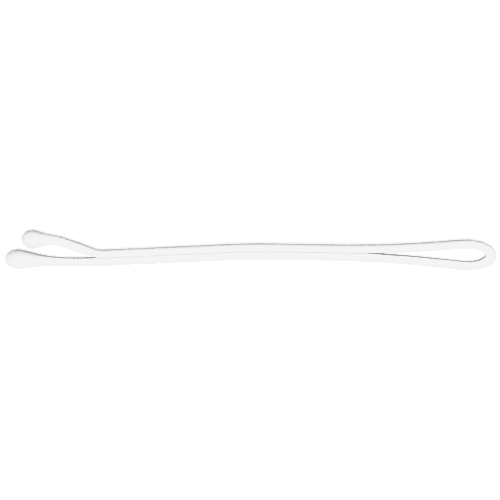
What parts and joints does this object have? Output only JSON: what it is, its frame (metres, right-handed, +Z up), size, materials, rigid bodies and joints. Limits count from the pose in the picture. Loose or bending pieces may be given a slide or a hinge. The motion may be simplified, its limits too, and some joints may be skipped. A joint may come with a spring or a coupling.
{
  "type": "bobby pin",
  "caption": "Enamelled bobby pin: flat spring-steel wire bent into a long narrow eye, one leg kicked up at its tip, with a dipped bead on the end of each leg.",
  "frame": {"origin": "middle of the pin's length and of its height across the legs, on the surface it lies on", "axes": "+X along the pin towards the closed bend, +Y from the plain lower leg towards the kicked-up upper leg, +Z up, along the width of the flat wire"},
  "size_m": [0.05, 0.0041, 0.002],
  "materials": {
    "spring_steel": "satin, rolled along the wire",
    "enamel": "gloss white enamel",
    "bead": "gloss white dipped resin"
  },
  "bodies": {
    "lower_leg": {"lower_leg_wire": "spring_steel", "lower_leg_enamel": "enamel", "lower_tip_bead": "bead", "bend_wire": "spring_steel", "bend_enamel": "enamel"},
    "upper_leg": {"upper_leg_wire": "spring_steel", "upper_leg_enamel": "enamel", "upper_tip_bead": "bead"}
  },
  "joints": [
    {"name": "leg_spring", "type": "hinge", "parent": "lower_leg", "child": "upper_leg", "pos_m": [0.02392, 0.00021, 0.00102], "axis": [0, 0, -1], "range_deg": [0, 15], "stiffness_Nm_per_rad": 0.25, "deforming": ["bend_wire", "bend_enamel"]}
  ]
}
